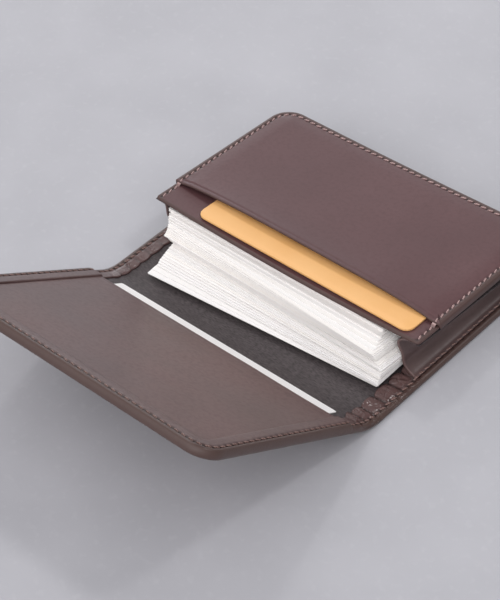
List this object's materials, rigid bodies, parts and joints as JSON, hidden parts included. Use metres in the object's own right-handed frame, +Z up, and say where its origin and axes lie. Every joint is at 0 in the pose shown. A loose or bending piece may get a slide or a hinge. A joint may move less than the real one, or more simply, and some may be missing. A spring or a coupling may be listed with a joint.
{
  "type": "business card case",
  "caption": "Folding leather business card case with a gusseted pocket, slip pockets on its front panel and inside the flap, shown open with cards in it.",
  "frame": {"origin": "centre of the back plate's underside, the face the case lies on", "axes": "+X along the spine, +Y from the flap towards the gusseted pocket, +Z up out of the pocket"},
  "size_m": [0.112, 0.1596, 0.0475],
  "materials": {
    "cover_leather": "smooth polished bridle leather, dark brown",
    "panel_leather": "smooth polished bridle leather, dark brown",
    "gusset_leather": "thin pared leather, satin dark brown",
    "lining_fabric": "charcoal ribbed lining cloth",
    "stiffener_board": "plain grey-brown board",
    "thread": "waxed sewing thread, light brown",
    "card_stock": "uncoated ivory card",
    "accent_card": "satin orange card, rounded corners"
  },
  "bodies": {
    "base": {"cover_back": "cover_leather", "board_back": "stiffener_board", "lining_back": "lining_fabric", "hem_back_left": "cover_leather", "hem_back_right": "cover_leather", "hem_back_far": "cover_leather", "gusset_lower": "gusset_leather", "thread_back": "thread"},
    "spine": {"cover_spine": "cover_leather", "lining_spine": "lining_fabric", "hem_spine_left": "cover_leather", "hem_spine_right": "cover_leather", "thread_spine": "thread"},
    "flap": {"cover_flap": "cover_leather", "board_flap": "stiffener_board", "lining_flap": "lining_fabric", "flap_pocket": "panel_leather", "hem_flap_left": "cover_leather", "hem_flap_right": "cover_leather", "hem_flap_edge": "cover_leather", "thread_flap": "thread"},
    "flap_card": {"flap_card": "card_stock"},
    "front_panel": {"front_panel": "panel_leather", "front_panel_lining": "lining_fabric", "gusset_upper": "gusset_leather", "slip_pocket": "panel_leather", "thread_panel": "thread", "bar_tacks": "thread"},
    "accent_card": {"accent_card": "accent_card"},
    "cards_low": {"cards_1": "card_stock", "cards_2": "card_stock"},
    "cards_3": {"cards_3": "card_stock"},
    "cards_4": {"cards_4": "card_stock"},
    "cards_5": {"cards_5": "card_stock"},
    "cards_6": {"cards_6": "card_stock"},
    "cards_7": {"cards_7": "card_stock"}
  },
  "joints": [
    {"name": "spine_fold", "type": "hinge", "parent": "base", "child": "spine", "pos_m": [0, -0.0384, 0.0024], "axis": [-1, 0, 0], "range_deg": [0, 80.6]},
    {"name": "flap_fold", "type": "hinge", "parent": "spine", "child": "flap", "pos_m": [0, -0.05365, 0.00492], "axis": [-1, 0, 0], "range_deg": [-32.5, 66.8]},
    {"name": "panel_press", "type": "hinge", "parent": "base", "child": "front_panel", "pos_m": [0, 0.0385, 0.0115], "axis": [1, 0, 0], "range_deg": [0, 3.6]},
    {"name": "accent_card_slide", "type": "slide", "parent": "front_panel", "child": "accent_card", "axis": [0, 0.9962, -0.0872], "range_m": [-0.01, 0.005]},
    {"name": "flap_card_slide", "type": "slide", "parent": "flap", "child": "flap_card", "axis": [0, -0.8434, 0.5373], "range_m": [0, 0.012]},
    {"name": "low_cards_slide", "type": "slide", "parent": "base", "child": "cards_low", "axis": [0, 0.9997, -0.0244], "range_m": [0, 0.0131]},
    {"name": "cards_3_settle", "type": "hinge", "parent": "base", "child": "cards_3", "pos_m": [0, 0.01812, 0.00402], "axis": [1, 0, 0], "range_deg": [0, 0.91]},
    {"name": "cards_4_settle", "type": "hinge", "parent": "base", "child": "cards_4", "pos_m": [0, 0.02271, 0.0053], "axis": [1, 0, 0], "range_deg": [0, 1.61]},
    {"name": "cards_5_settle", "type": "hinge", "parent": "base", "child": "cards_5", "pos_m": [0, 0.02169, 0.00676], "axis": [1, 0, 0], "range_deg": [0, 2.41]},
    {"name": "cards_6_settle", "type": "hinge", "parent": "base", "child": "cards_6", "pos_m": [0, 0.02445, 0.00836], "axis": [1, 0, 0], "range_deg": [0, 3.01]},
    {"name": "cards_7_settle", "type": "hinge", "parent": "base", "child": "cards_7", "pos_m": [0, 0.0285, 0.00966], "axis": [1, 0, 0], "range_deg": [0, 3.51]}
  ],
  "couplings": [
    {"joint": "panel_press", "follows": "spine_fold", "ratio": 0.044665},
    {"joint": "low_cards_slide", "follows": "spine_fold", "m_per_rad": 0.009241},
    {"joint": "cards_3_settle", "follows": "spine_fold", "ratio": 0.011166},
    {"joint": "cards_4_settle", "follows": "spine_fold", "ratio": 0.019851},
    {"joint": "cards_5_settle", "follows": "spine_fold", "ratio": 0.029777},
    {"joint": "cards_6_settle", "follows": "spine_fold", "ratio": 0.037221},
    {"joint": "cards_7_settle", "follows": "spine_fold", "ratio": 0.043424}
  ]
}
